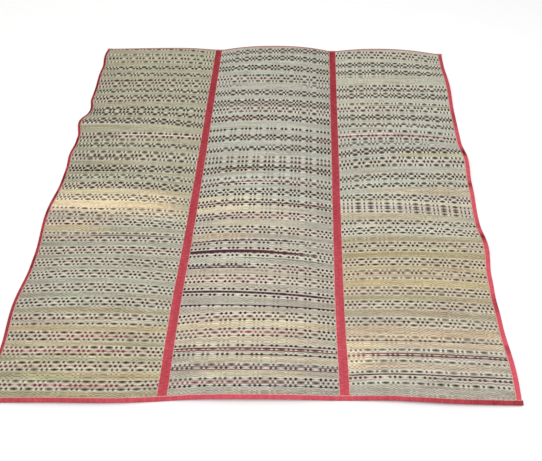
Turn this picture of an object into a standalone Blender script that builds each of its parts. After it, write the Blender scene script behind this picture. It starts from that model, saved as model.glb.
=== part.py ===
"""A folding reed mat laid open on a floor: three woven reed panels, two tapes over the seams
between them, and a folded tape round each of the four edges.

The mat lies in the XY plane, Z up, in metres. X runs across the three panels, along the reeds.
Y runs along the panels, from the near end to the far end. The origin is the middle of the
mat's own box, on the floor.
"""

import math
from collections import namedtuple

import bmesh
import bpy

# The mat as it lies
HALF_WIDTH = 0.909
HALF_LENGTH = 0.934
SEAM_X = 0.309
PANEL_THICK = 0.003
HINGE_GAP = 0.003

# The cotton tape
TAPE_WIDTH = 0.037
TAPE_THICK = 0.001
CREASE_DEPTH = 0.001
SIDE_LEAVES = {"left": 0.016, "right": 0.021}
NEAR_LEAF = 0.015
FAR_LEAF = 0.012
WEB_BULGE = 0.0006
DOG_EAR = 0.003

# Sewn layers stay this far apart
CLEAR = 0.0003
LAYER = TAPE_THICK + CLEAR

# The reed ends stop short of the folded tape round them
SIDE_EDGE = HALF_WIDTH - LAYER - WEB_BULGE
END_EDGE = HALF_LENGTH - LAYER - WEB_BULGE

# How a panel leaves the floor: flat for a little way beside its edge, then softly up
SEAM_FLAT = 0.010
SIDE_FLAT = 0.022
SOFT_RISE = 0.015
CROWN_POWER = 2.2
LAYER_FADE = 0.12

# How high each panel bows up in its middle, at even steps from the near end to the far end
CROWNS = {
    "left": (0.010, 0.027, 0.022, 0.018, 0.014, 0.010, 0.008),
    "middle": (0.018, 0.028, 0.033, 0.030, 0.024, 0.017, 0.032),
    "right": (0.016, 0.018, 0.023, 0.025, 0.022, 0.014, 0.022),
}

# Where a side edge waves: the place along it, how high it lifts off the floor and how far it bulges
# outwards there, and how far along the edge the wave reaches
Wave = namedtuple("Wave", "y lift bulge reach")
WAVES = {
    "left": (
        Wave(0.870, 0.006, 0.009, 0.110),
        Wave(0.710, 0.007, 0.001, 0.110),
        Wave(0.458, 0.000, -0.013, 0.070),
        Wave(0.352, 0.016, 0.010, 0.080),
        Wave(0.155, 0.008, 0.003, 0.080),
        Wave(-0.180, 0.022, 0.002, 0.190),
        Wave(-0.590, 0.016, 0.003, 0.170),
        Wave(-0.840, 0.009, 0.002, 0.090),
    ),
    "right": (
        Wave(0.650, 0.010, 0.004, 0.190),
        Wave(0.135, 0.022, 0.006, 0.140),
        Wave(-0.020, 0.012, 0.001, 0.140),
        Wave(-0.320, 0.016, 0.008, 0.130),
        Wave(-0.540, 0.000, -0.003, 0.080),
        Wave(-0.830, 0.015, 0.004, 0.180),
    ),
}
LIFT_FADE = 0.24
BULGE_FADE = 0.08

# How far each end's line lies from straight, at even steps from the left side to the right
END_SHIFTS = {
    "near": (-0.001, -0.001, -0.001, 0.010, 0.011, 0.011, 0.010, 0.000, -0.003),
    "far": (-0.012, -0.007, 0.000, -0.005, -0.006, 0.000, -0.002, -0.006, -0.014),
}
END_FADE = 0.22

# How far each seam lies from straight, at even steps from the near end to the far end
SEAM_SHIFTS = {
    "left": (0.001, -0.004, 0.000, 0.001, 0.000, -0.002, -0.003),
    "right": (0.003, -0.004, -0.005, -0.004, -0.003, -0.002, 0.000),
}
SEAM_FADE = 0.30

# Grid lines across a panel, as distances from its edge, and the number of steps along it
LINES_BY_SEAM = (HINGE_GAP / 2, SEAM_FLAT, TAPE_WIDTH / 2, 0.060, 0.120, 0.200)
LINES_BY_SIDE = (0.060, 0.120, 0.200)
SIDE_STEPS = 58
MIDDLE_STEPS = 29

# Colours as linear red, green and blue
REED_COLOUR = (0.48, 0.45, 0.32, 1.0)
TAPE_COLOUR = (0.50, 0.035, 0.060, 1.0)


def smoothstep(low, high, value):
    """0 below low, 1 above high, and a smooth step between."""
    t = min(max((value - low) / (high - low), 0.0), 1.0)
    return t * t * (3 - 2 * t)


def hump(distance, reach):
    """1 at no distance, falling smoothly to 0 at reach."""
    if abs(distance) >= reach:
        return 0.0
    return math.cos(math.pi / 2 * distance / reach) ** 2


def curve_through(values, share):
    """The height at a share of the way along evenly spaced values, on a smooth curve."""
    last = len(values) - 1
    place = min(max(share, 0.0), 1.0) * last
    i = min(int(place), last - 1)
    t = place - i
    a, b = values[i], values[i + 1]
    slope_a = (b - values[max(i - 1, 0)]) / 2
    slope_b = (values[min(i + 2, last)] - a) / 2
    rise = t * t * (3 - 2 * t)
    return a + (b - a) * rise + slope_a * t * (1 - t) ** 2 - slope_b * t * t * (1 - t)


def share_along(y):
    """The share of the mat's length from its near end to y."""
    return (y + HALF_LENGTH) / (2 * HALF_LENGTH)


def panel_at(s):
    """The panel that holds the place s across the mat, with its two edges."""
    if s < -SEAM_X:
        return "left", -SIDE_EDGE, -SEAM_X
    if s > SEAM_X:
        return "right", SEAM_X, SIDE_EDGE
    return "middle", -SEAM_X, SEAM_X


def soft_distance(distance, flat):
    """The distance from an edge, held at 0 over the flat beside it and rising softly after."""
    past = max(distance - flat, 0.0)
    return math.hypot(past, SOFT_RISE) - SOFT_RISE


def side_of(s):
    """The side of the mat that the place s is on."""
    return "left" if s < 0 else "right"


def crown(s, y):
    """How far the panel bows up off the floor."""
    name, low, high = panel_at(s)
    half = (high - low) / 2
    flat_low = SIDE_FLAT if name == "left" else SEAM_FLAT
    flat_high = SIDE_FLAT if name == "right" else SEAM_FLAT
    inside = min(soft_distance(s - low, flat_low), soft_distance(high - s, flat_high))
    longest = soft_distance(half, SEAM_FLAT)
    t = 1 - min(inside / longest, 1.0)
    return curve_through(CROWNS[name], share_along(y)) * (1 - t**CROWN_POWER)


def side_waves(s, y):
    """How far the waves in the nearer side edge lift the mat here, and how far they push it out."""
    waves = WAVES[side_of(s)]
    inside = max(SIDE_EDGE - abs(s), 0.0)
    lift = sum(w.lift * hump(y - w.y, w.reach) for w in waves)
    bulge = sum(w.bulge * hump(y - w.y, w.reach) for w in waves)
    return lift * hump(inside, LIFT_FADE), bulge * hump(inside, BULGE_FADE)


def layer_lift(s, y):
    """The layers of folded tape under the edges raise the reeds by their own thickness."""
    by_side = 1 - smoothstep(SIDE_LEAVES[side_of(s)], LAYER_FADE, SIDE_EDGE - abs(s))
    by_end = 1 - smoothstep(NEAR_LEAF, LAYER_FADE, END_EDGE - abs(y))
    return LAYER * (by_side + by_end)


def underside(s, y):
    """The height of the reeds' underside over the floor."""
    return crown(s, y) + side_waves(s, y)[0] + layer_lift(s, y)


def end_shift(s, y):
    """How far the nearer end's line pulls the mat along here."""
    shifts = END_SHIFTS["near" if y < 0 else "far"]
    share = (s + SIDE_EDGE) / (2 * SIDE_EDGE)
    return curve_through(shifts, share) * hump(END_EDGE - abs(y), END_FADE)


def seam_shift(s, y):
    """How far the nearer seam pulls the mat sideways here."""
    shift = curve_through(SEAM_SHIFTS[side_of(s)], share_along(y))
    return shift * hump(abs(s) - SEAM_X, SEAM_FADE)


def plan(s, y):
    """Where the place s across and y along the mat lies on the floor, seen from above."""
    outwards = -1 if s < 0 else 1
    bulge = side_waves(s, y)[1]
    return s + outwards * bulge + seam_shift(s, y), y + end_shift(s, y)


def cut_faces(bm):
    """Cuts each four-sided face along the diagonal that runs towards +X and +Y, so that layers
    which lie on each other bend along the same lines."""
    for face in bm.faces[:]:
        a, b, c, d = face.verts
        across = c.co - a.co
        if across.x * across.y > 0:
            bmesh.utils.face_split(face, a, c)
        else:
            bmesh.utils.face_split(face, b, d)


def thick_sheet(name, steps, lines, place, colour, collection):
    """A closed sheet. place(i, j, outer) puts line i of step j on its inner or its outer face."""
    bm = bmesh.new()
    bmesh.ops.create_grid(bm, x_segments=lines, y_segments=steps, size=1.0)
    extruded = bmesh.ops.extrude_face_region(bm, geom=bm.faces[:])
    outer = {v for v in extruded["geom"] if isinstance(v, bmesh.types.BMVert)}
    for v in bm.verts:
        i = round((v.co.x + 1) / 2 * lines)
        j = round((v.co.y + 1) / 2 * steps)
        v.co = place(i, j, v in outer)
    cut_faces(bm)
    bmesh.ops.recalc_face_normals(bm, faces=bm.faces[:])
    if bm.calc_volume(signed=True) < 0:
        bmesh.ops.reverse_faces(bm, faces=bm.faces[:])
    mesh = bpy.data.meshes.new(name)
    bm.to_mesh(mesh)
    bm.free()
    mesh.shade_smooth()
    mesh.set_sharp_from_angle(angle=math.radians(40))
    mesh.materials.append(colour)
    sheet = bpy.data.objects.new(name, mesh)
    collection.objects.link(sheet)
    return sheet


def cloth_material(name, colour, roughness):
    """A plain matt material."""
    material = bpy.data.materials.new(name)
    material.use_nodes = True
    shader = material.node_tree.nodes["Principled BSDF"]
    shader.inputs["Base Color"].default_value = colour
    shader.inputs["Roughness"].default_value = roughness
    shader.inputs["Metallic"].default_value = 0.0
    return material


def rows_along(steps):
    """The places along the mat of a sheet's steps, with one at the edge of each end leaf."""
    low, high = -END_EDGE + NEAR_LEAF, END_EDGE - FAR_LEAF
    inner = [low + (high - low) * j / steps for j in range(steps + 1)]
    return [-END_EDGE, *inner, END_EDGE]


def columns_of(name):
    """The places across the mat of a panel's grid lines."""
    if name == "middle":
        half = [SEAM_X - d for d in LINES_BY_SEAM]
        return sorted([-s for s in half] + [0.0] + half)
    by_seam = [SEAM_X + d for d in LINES_BY_SEAM]
    by_side = [SIDE_EDGE - d for d in (0.0, SIDE_LEAVES[name], *LINES_BY_SIDE)]
    middle = (SEAM_X + SIDE_EDGE) / 2
    side = 1 if name == "right" else -1
    return sorted(side * s for s in [*by_seam, middle, *by_side])


def add_panel(name, material, collection):
    """One woven reed panel."""
    columns = columns_of(name)
    rows = rows_along(MIDDLE_STEPS if name == "middle" else SIDE_STEPS)

    def place(i, j, outer):
        s, y = columns[i], rows[j]
        return (*plan(s, y), underside(s, y) + PANEL_THICK * outer)

    thick_sheet(f"panel_{name}", len(rows) - 1, len(columns) - 1, place, material, collection)


def add_seam_tape(name, side, material, collection):
    """A tape that lies over two neighbouring panels, creased where it bridges their seam."""
    rows = rows_along(MIDDLE_STEPS)
    half = [TAPE_WIDTH / 2, SEAM_FLAT, HINGE_GAP / 2]
    offsets = [-d for d in half] + [0.0] + half[::-1]

    def place(i, j, outer):
        s, y = side * SEAM_X + offsets[i], rows[j]
        z = underside(s, y) + PANEL_THICK + CLEAR
        if offsets[i] == 0.0:
            z -= CREASE_DEPTH
        return (*plan(s, y), z + TAPE_THICK * outer)

    thick_sheet(f"seam_tape_{name}", len(rows) - 1, len(offsets) - 1, place, material, collection)


def folded_section(outer):
    """Five points round an edge, as the leaf they end on (1 for its inner edge, 0 for the panel's
    own edge), the way out past the edge, and the face of the reeds that they follow."""
    wall = TAPE_THICK * outer
    corner_out = CLEAR + WEB_BULGE * outer
    web_out = CLEAR + WEB_BULGE + wall
    return (
        (1, 0.0, 1),
        (0, corner_out, 1),
        (0, web_out, 0),
        (0, corner_out, -1),
        (1, 0.0, -1),
    )


def layer_height(face, base, over, under, outer):
    """The height of one point of a folded tape. face is 1 above, -1 below and 0 halfway."""
    wall = TAPE_THICK * outer
    above = base + PANEL_THICK + over + CLEAR + wall
    below = base - under - CLEAR - wall
    return (above + below) / 2 + face * (above - below) / 2


def add_side_binding(name, side, material, collection):
    """The tape folded round one long side."""
    rows = rows_along(SIDE_STEPS)

    def place(i, j, outer):
        leaf, out, face = folded_section(outer)[i]
        s, y = side * (SIDE_EDGE - leaf * SIDE_LEAVES[name]), rows[j]
        x, along = plan(s, y)
        z = layer_height(face, underside(s, y), 0.0, 0.0, outer)
        return (x + side * out, along, z)

    thick_sheet(f"binding_{name}", len(rows) - 1, 4, place, material, collection)


def add_end_binding(name, end, leaf_width, material, collection):
    """The tape folded round one end. It goes over the seam tapes and round the side bindings."""
    corner = SIDE_EDGE + LAYER + 2 * WEB_BULGE
    panels = columns_of("left") + columns_of("middle") + columns_of("right")
    columns = [-HALF_WIDTH - DOG_EAR, -corner, *panels, corner, HALF_WIDTH + DOG_EAR]

    def place(i, j, outer):
        leaf, out, face = folded_section(outer)[i]
        s = columns[j]
        on_mat = min(max(s, -SIDE_EDGE), SIDE_EDGE)
        y = end * (END_EDGE - leaf * leaf_width)
        at_corner = abs(s) > SIDE_EDGE - SIDE_LEAVES[side_of(s)] - CLEAR
        at_seam = abs(abs(s) - SEAM_X) < TAPE_WIDTH / 2 + CLEAR
        over = LAYER * (at_corner or at_seam)
        under = LAYER * at_corner
        along = plan(on_mat, y)[1]
        z = layer_height(face, underside(on_mat, y), over, under, outer)
        return (plan(on_mat, y)[0] + s - on_mat, along + end * out, z)

    thick_sheet(f"binding_{name}", len(columns) - 1, 4, place, material, collection)


def main():
    for old in list(bpy.data.objects):
        bpy.data.objects.remove(old)
    collection = bpy.data.collections.new("Reed mat")
    bpy.context.scene.collection.children.link(collection)
    reed = cloth_material("woven_reed", REED_COLOUR, 0.6)
    tape = cloth_material("red_tape", TAPE_COLOUR, 0.85)
    for name in ("left", "middle", "right"):
        add_panel(name, reed, collection)
    for name, side in (("left", -1), ("right", 1)):
        add_seam_tape(name, side, tape, collection)
        add_side_binding(name, side, tape, collection)
    add_end_binding("near", -1, NEAR_LEAF, tape, collection)
    add_end_binding("far", 1, FAR_LEAF, tape, collection)


main()
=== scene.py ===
"""The finish of a folding reed mat: three woven panels with their bands of dyed reeds, the red
cotton tapes over the two seams, and the tape folded round each edge.

The frame is the mat's own: metres, Z up, X across the three panels along the reeds, Y along the
panels to the far end, and the origin on the floor in the middle of the mat.
"""

import math
from collections import namedtuple
from functools import lru_cache

import bmesh
import bpy
import numpy as np
from mathutils import Matrix, Vector, noise


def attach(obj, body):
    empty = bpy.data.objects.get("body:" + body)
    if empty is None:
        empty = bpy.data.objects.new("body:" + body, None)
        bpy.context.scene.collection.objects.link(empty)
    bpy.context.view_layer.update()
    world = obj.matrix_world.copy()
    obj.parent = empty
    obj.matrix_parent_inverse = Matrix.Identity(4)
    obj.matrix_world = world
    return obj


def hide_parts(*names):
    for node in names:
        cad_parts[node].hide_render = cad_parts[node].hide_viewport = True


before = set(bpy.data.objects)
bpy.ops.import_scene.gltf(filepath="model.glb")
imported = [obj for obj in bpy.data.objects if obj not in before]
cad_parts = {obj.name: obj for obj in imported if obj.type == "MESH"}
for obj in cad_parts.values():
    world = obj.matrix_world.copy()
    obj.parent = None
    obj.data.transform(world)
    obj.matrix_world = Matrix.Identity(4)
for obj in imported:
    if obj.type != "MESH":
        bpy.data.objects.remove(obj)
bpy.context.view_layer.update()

# The mat as it lies
HALF_WIDTH = 0.909
HALF_LENGTH = 0.934
SEAM_X = 0.309
PANEL_THICK = 0.003
HINGE_GAP = 0.003

# The cotton tape of the solids
TAPE_WIDTH = 0.037
TAPE_THICK = 0.001
CREASE_DEPTH = 0.001
SIDE_LEAVES = {"left": 0.016, "right": 0.021}
NEAR_LEAF = 0.015
WEB_BULGE = 0.0006
DOG_EAR = 0.003

# How much of each folded tape shows. But for the near one it is less than the solid's leaf.
SHOWN_LEAVES = {"left": 0.0125, "right": 0.0185, "near": NEAR_LEAF, "far": 0.0065}

# The tape's relief: the pitch of its rows, the length of a stitch, how far inside the edge the
# stitches run and how close the grid lines beside them are, how high the bead rises and the
# stitches sink, how far the bead and the stitches reach to their sides on a seam tape and on a
# folded one, how much the edge rounds over, and where inside the edge the fraying fades
TAPE_ROW = 0.004
STITCH = 0.005
STITCH_INSET = 0.0026
STITCH_LINES = 0.0008
BEAD_RISE = 0.0002
SEAM_REACHES = (0.0009, 0.0009)
FOLD_REACHES = (0.0012, 0.0010)
ROUND_OVER = 0.0003
FRAYED = (0.0004, 0.0032)

# How uneven the tapes are: how far the edges wander, and how far the faces rise and fall
SEAM_WANDER = 0.0006
SIDE_WANDER = 0.0009
SIDE_RIPPLE = 0.0004
END_WANDER = 0.0008
SEAM_PUCKER = 0.00025
FOLD_PUCKER = 0.0002

# A seam tape's grid lines between its crease and its stitches, as distances from the seam
SEAM_LINES = (0.004, 0.008, 0.012)

# A folded tape's grid lines: how far inside the edge of its leaf, then as shares of the leaf, and
# how many steps go round the fold, with the length that they have on the tape's map
FOLD_LINES = (0.0, 0.0004, 0.0012, STITCH_INSET, 0.0042)
INNER_LINES = (0.45, 0.2)
FOLD_STEPS = 8
FOLD_LENGTH = 0.002

# How far an end's tape takes to step up onto the tapes under it
STEP_WIDTH = 0.006

# Sewn layers stay this far apart
CLEAR = 0.0003
LAYER = TAPE_THICK + CLEAR

# The reed ends stop short of the folded tape round them
SIDE_EDGE = HALF_WIDTH - LAYER - WEB_BULGE
END_EDGE = HALF_LENGTH - LAYER - WEB_BULGE

# How a panel leaves the floor: flat for a little way beside its edge, then softly up
SEAM_FLAT = 0.010
SIDE_FLAT = 0.022
SOFT_RISE = 0.015
CROWN_POWER = 2.2
LAYER_FADE = 0.12

# How high each panel bows up in its middle, at even steps from the near end to the far end
CROWNS = {
    "left": (0.010, 0.027, 0.022, 0.018, 0.014, 0.010, 0.008),
    "middle": (0.018, 0.028, 0.033, 0.030, 0.024, 0.017, 0.032),
    "right": (0.016, 0.018, 0.023, 0.025, 0.022, 0.014, 0.022),
}

# Where a side edge waves: the place along it, how high it lifts off the floor and how far it bulges
# outwards there, and how far along the edge the wave reaches
Wave = namedtuple("Wave", "y lift bulge reach")
WAVES = {
    "left": (
        Wave(0.870, 0.006, 0.009, 0.110),
        Wave(0.710, 0.007, 0.001, 0.110),
        Wave(0.458, 0.000, -0.013, 0.070),
        Wave(0.352, 0.016, 0.010, 0.080),
        Wave(0.155, 0.008, 0.003, 0.080),
        Wave(-0.180, 0.022, 0.002, 0.190),
        Wave(-0.590, 0.016, 0.003, 0.170),
        Wave(-0.840, 0.009, 0.002, 0.090),
    ),
    "right": (
        Wave(0.650, 0.010, 0.004, 0.190),
        Wave(0.135, 0.022, 0.006, 0.140),
        Wave(-0.020, 0.012, 0.001, 0.140),
        Wave(-0.320, 0.016, 0.008, 0.130),
        Wave(-0.540, 0.000, -0.003, 0.080),
        Wave(-0.830, 0.015, 0.004, 0.180),
    ),
}
LIFT_FADE = 0.24
BULGE_FADE = 0.08

# How far each end's line lies from straight, at even steps from the left side to the right
END_SHIFTS = {
    "near": (-0.001, -0.001, -0.001, 0.010, 0.011, 0.011, 0.010, 0.000, -0.003),
    "far": (-0.012, -0.007, 0.000, -0.005, -0.006, 0.000, -0.002, -0.006, -0.014),
}
END_FADE = 0.22

# How far each seam lies from straight, at even steps from the near end to the far end
SEAM_SHIFTS = {
    "left": (0.001, -0.004, 0.000, 0.001, 0.000, -0.002, -0.003),
    "right": (0.003, -0.004, -0.005, -0.004, -0.003, -0.002, 0.000),
}
SEAM_FADE = 0.30

# The weave. Picks are counted from the far end. The warp stands in two kinds of column: an even pick
# shows over the A columns and an odd pick over the B columns. A columns stand in groups, a pitch
# apart, with a narrow B column between neighbours and a wide one between groups.
PICKS = 444
PICK = 2 * END_EDGE / PICKS
PITCH = 0.0172
HALF_PITCH = PITCH / 2
GROUPS = (4, 2, 3, 2, 3, 2, 3, 2, 4)
LAYOUT_CENTRES = {"left": -0.603, "middle": 0.005, "right": 0.607}
WIDE_COLUMN = 1.5 * PITCH
WIDE_LINES = (-0.5, -0.3, 0.0, 0.3, 0.5)
WEAVE_DEPTH = 0.0006

# Spare rows past each end, which a leaning row can bring onto the mat, and the rows of a panel's
# tables of dyes. How many picks from an end the rows pack together, and over which the end's
# binding presses them flat.
SPARE_PICKS = 7
ROWS = PICKS + 2 * SPARE_PICKS + 2
SQUEEZE = 3
PRESSED = (1.5, 3.0)

# How soft the long edges of a float are, as a share of the way out from its middle
FLOAT_SOFT = 0.09

# How readily a reed takes its dye, how unevenly, and over which part of the way from one dye to the
# next the two blend
UPTAKE = 1.8
UNEVEN_DYE = 0.25
BLEND = (0.2, 0.8)

# How much a dye bleeds into the undyed reeds beside it, how many picks away, and how much more a
# bright red one reddens them than a dark one
BLEED = 0.6
BLEED_PICKS = 2
RED_GAIN = 5.5

# Between these two picks the dyes soak less and less past their own floats, down by this much, and
# the unbroken reeds show less and less wide
FAR_TO_NEAR = (160.0, 340.0)
SOAK_LOSS = 0.80
FAR_WIDENING = 0.9

# The dyes, as they look on the reeds
DYES = {
    "ink": (0.013, 0.010, 0.007),
    "navy": (0.018, 0.021, 0.034),
    "teal": (0.018, 0.044, 0.042),
    "green": (0.040, 0.055, 0.030),
    "olive": (0.110, 0.090, 0.035),
    "brown": (0.058, 0.026, 0.015),
    "grey": (0.075, 0.068, 0.056),
    "maroon": (0.080, 0.013, 0.018),
    "crimson": (0.175, 0.026, 0.048),
    "purple": (0.055, 0.014, 0.032),
    "pale": (0.860, 0.740, 0.690),
}

# The dyed bands of each panel: the picks that are dyed, each pick's dye from the left end of the
# row to the right, how deep the dye looks, and where the band's middle pick lies at the panel's
# left end, its middle and its right end, in picks from the far end
Band = namedtuple("Band", "picks dyes depth places")
BANDS = {
    "left": (
        Band((3,), "ink", 0.85, (1.5, 2, 8)),
        Band((13, 20, 27), "olive>ink brown>ink olive>ink", 0.85, (20.5, 20.5, 22)),
        Band((37, 40), "ink ink", 0.95, (42, 41, 38)),
        Band((51, 54), "ink grey>ink", 0.8, (55.5, 53.5, 53)),
        Band((63, 68, 73), "ink maroon>ink ink", 0.85, (69.5, 68, 66.5)),
        Band((80, 83), "teal>ink ink", 0.8, (84, 83, 83)),
        Band((91, 94, 99), "ink maroon>brown>ink brown>ink", 0.9, (95.5, 94.5, 93.5)),
        Band((111, 114), "ink ink", 0.95, (115, 114.5, 113.5)),
        Band((120, 123), "ink ink", 0.9, (122, 122.5, 125.5)),
        Band((131, 134, 137), "ink purple>ink ink", 0.9, (136, 133.5, 138)),
        Band((153, 158, 163), "ink brown>maroon>maroon brown>olive>bare", 0.9, (158, 158.5, 158)),
        Band((169, 172), "green>ink ink", 0.75, (170.5, 172.5, 173)),
        Band((181, 186, 191), "grey purple>ink>purple grey>purple", 0.9, (185.5, 187, 188)),
        Band((201, 204, 207), "ink ink ink", 0.95, (202, 205.2, 204)),
        Band((215, 218), "green ink", 0.7, (216, 217.5, 220)),
        Band((225, 228, 231), "ink maroon>ink ink", 0.95, (227.5, 228, 230)),
        Band((241, 244, 247), "brown brown brown>grey", 0.65, (243, 244, 246.5)),
        Band((259, 264, 267), "brown maroon>brown brown", 0.7, (262.5, 263.5, 263.5)),
        Band((271, 274, 277), "grey maroon>ink ink", 0.9, (274, 274, 275.5)),
        Band((287, 292, 295), "grey>ink maroon>ink ink", 0.85, (291, 292.5, 291)),
        Band((303, 306, 309), "ink purple>maroon>maroon ink", 0.95, (305.3, 306.3, 305)),
        Band((317, 320, 323), "ink maroon>ink ink>green", 0.9, (318, 319, 320.2)),
        Band((329, 332, 335), "ink purple>ink>ink ink>grey", 0.95, (331.7, 331.7, 333)),
        Band((343, 346, 349), "ink brown>ink ink", 0.9, (346, 345.5, 346.5)),
        Band((357, 360, 363), "navy>ink ink ink>navy", 0.9, (361, 359.3, 360)),
        Band((371, 374, 379), "ink>brown maroon>brown>ink brown>ink", 0.85, (375, 375, 374.5)),
        Band((387, 390, 393), "ink navy>crimson>maroon ink>green", 0.85, (389.5, 391, 390)),
        Band((401, 404, 407), "green>ink crimson>crimson>maroon ink", 0.9, (402.5, 403.5, 403)),
        Band((413, 416, 419), "ink maroon>brown ink", 0.85, (416, 415.8, 415.5)),
        Band((427, 430, 433), "grey>ink maroon>crimson>maroon ink", 0.85, (430.6, 431.3, 431)),
    ),
    "middle": (
        Band((5, 8, 11), "grey>ink ink grey>ink", 0.85, (10.5, 9, 5)),
        Band((19, 22, 25), "teal>ink ink ink", 0.9, (25, 22.3, 23.5)),
        Band((36, 39, 42), "ink ink ink", 0.95, (39, 40, 43)),
        Band((53, 58, 63), "teal>ink maroon>ink teal>ink", 0.85, (58.3, 59.3, 58.7)),
        Band((69, 72), "brown>bare>ink grey>bare>ink", 0.6, (71, 71.5, 73)),
        Band((81, 84, 87), "ink ink ink", 0.9, (84, 84, 85.5)),
        Band((98, 101, 104), "ink ink>maroon>ink grey>ink", 0.9, (101, 101, 102)),
        Band((107, 112, 117), "grey>ink ink>maroon>maroon grey>ink", 0.85, (112.5, 112, 114)),
        Band((124, 127, 130), "ink maroon>ink ink", 0.95, (128, 128, 130)),
        Band((146,), "ink", 0.85, (146, 146, 147)),
        Band((156, 159, 162), "ink ink>ink>purple ink>grey>purple", 0.95, (159, 159.6, 160)),
        Band((172, 175, 178), "bare>ink ink ink", 0.95, (174.7, 174.7, 174.4)),
        Band((188, 194), "grey ink>ink>maroon", 0.8, (193.5, 195.5, 195)),
        Band((202, 205, 208), "ink purple>ink>purple ink", 0.95, (206, 204, 206)),
        Band((218, 223, 226), "grey maroon>maroon>purple ink", 0.85, (224, 222.7, 224.7)),
        Band((234, 237, 240), "ink ink ink", 0.95, (236, 236.8, 237.8)),
        Band((246, 249, 252), "ink maroon>purple>maroon ink", 0.9, (250, 250.2, 252.5)),
        Band((262, 265, 268), "ink purple>crimson>maroon ink>grey", 0.95, (266.1, 266, 267.8)),
        Band((280, 283, 286), "ink ink>maroon ink", 0.9, (280.5, 283.3, 285)),
        Band((295, 298), "purple>ink ink>grey", 0.9, (297.5, 298, 300)),
        Band(
            (304, 307, 308, 309, 312),
            "ink purple>purple>maroon>ink>ink purple>maroon>maroon>bare purple>maroon>ink ink>teal",
            0.95,
            (306.3, 308.3, 311.5),
        ),
        Band((320, 323, 326), "ink purple>maroon>maroon>ink bare>ink", 0.95, (322.5, 325, 328)),
        Band((334, 337, 340), "ink crimson>maroon ink>brown", 0.85, (334, 336.7, 339.5)),
        Band((346, 349, 352), "ink purple>maroon>ink ink", 0.95, (346.8, 350.3, 353.2)),
        Band((362,), "ink", 0.9, (360.5, 362.8, 364.3)),
        Band((370, 373, 376), "ink maroon>ink brown>ink", 0.85, (374.5, 372.2, 374)),
        Band((384, 387, 390), "grey>ink maroon>crimson>ink grey>ink", 0.85, (388, 386.5, 388.5)),
        Band((398, 401, 406), "green>ink crimson>maroon navy>ink", 0.9, (401, 401.2, 402.3)),
        Band((415, 418), "navy>teal maroon>purple", 0.85, (418, 418.3, 419.3)),
        Band((428, 431, 434), "green>ink crimson>purple ink>navy", 0.85, (430.8, 430.5, 431)),
    ),
    "right": (
        Band((7, 12, 17), "ink navy>maroon>ink ink", 0.9, (8.8, 12.5, 12)),
        Band((27, 30, 33), "ink ink teal>ink", 0.9, (28.5, 30.7, 30)),
        Band((41, 44, 47), "ink navy>ink ink", 0.85, (42.5, 45, 44.5)),
        Band((53, 58), "brown>bare bare", 0.35, (57, 58, 58)),
        Band((69, 74, 77), "ink ink>purple ink", 0.9, (74, 74.2, 74)),
        Band((83, 86, 89), "grey>ink brown>ink ink", 0.9, (86.5, 86.3, 87.5)),
        Band((101, 108, 113), "olive>ink maroon>ink navy>ink", 0.85, (107, 107.5, 106.5)),
        Band((121, 124, 127), "ink ink ink", 0.85, (121.5, 124.5, 123.5)),
        Band((135, 138), "ink brown>ink", 0.75, (136, 138.7, 137.5)),
        Band((147, 154, 159), "grey>ink>ink crimson>maroon ink", 0.85, (152.5, 154, 154)),
        Band((165, 168), "ink>grey>bare ink>grey>bare", 0.6, (166.5, 166.5, 167)),
        Band((175, 178, 181), "ink purple>ink ink", 0.95, (179.5, 175.7, 175)),
        Band((187, 192, 197), "ink ink>maroon ink", 0.85, (195, 192.4, 192.5)),
        Band((211, 214, 217), "grey>ink ink grey>ink", 0.85, (214.7, 213.3, 211.3)),
        Band((223, 226), "ink ink", 0.8, (227.5, 226, 223.5)),
        Band((237, 240, 243), "ink ink>brown>maroon brown>ink", 0.85, (238.5, 241.5, 242)),
        Band((249, 253, 255, 259), "ink purple>maroon ink grey>ink", 0.85, (252, 255.5, 257)),
        Band((269, 272), "ink ink", 0.85, (270, 273.3, 272.5)),
        Band((277, 280, 283), "ink ink>ink>maroon ink", 0.9, (280.5, 281, 283)),
        Band((295, 298, 303), "navy>ink ink>ink>maroon ink>green>ink", 0.9, (298, 298.5, 298.7)),
        Band((313, 316, 319), "ink brown>ink ink", 0.85, (315.4, 316, 317.5)),
        Band((325, 328, 333), "olive>olive>ink maroon>maroon>ink olive>ink", 0.75, (328, 328, 329.7)),
        Band((343, 346, 349), "olive>ink maroon>brown>ink grey", 0.75, (344.6, 346, 347.2)),
        Band((357, 360, 363), "ink purple>brown>ink olive>brown", 0.8, (358.3, 359.7, 361.5)),
        Band((373, 376, 379), "ink>olive ink>ink>grey brown>ink", 0.8, (374.3, 376, 378)),
        Band((389, 392), "olive>grey brown>ink", 0.6, (391, 392.8, 394.7)),
        Band(
            (401, 406, 411),
            "grey>teal>ink crimson>maroon>brown grey>teal>ink",
            0.7,
            (405.5, 405.8, 408.7),
        ),
        Band((419, 424, 429), "navy>grey maroon>brown teal>ink", 0.8, (425.8, 424.8, 427)),
    ),
}

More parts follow.
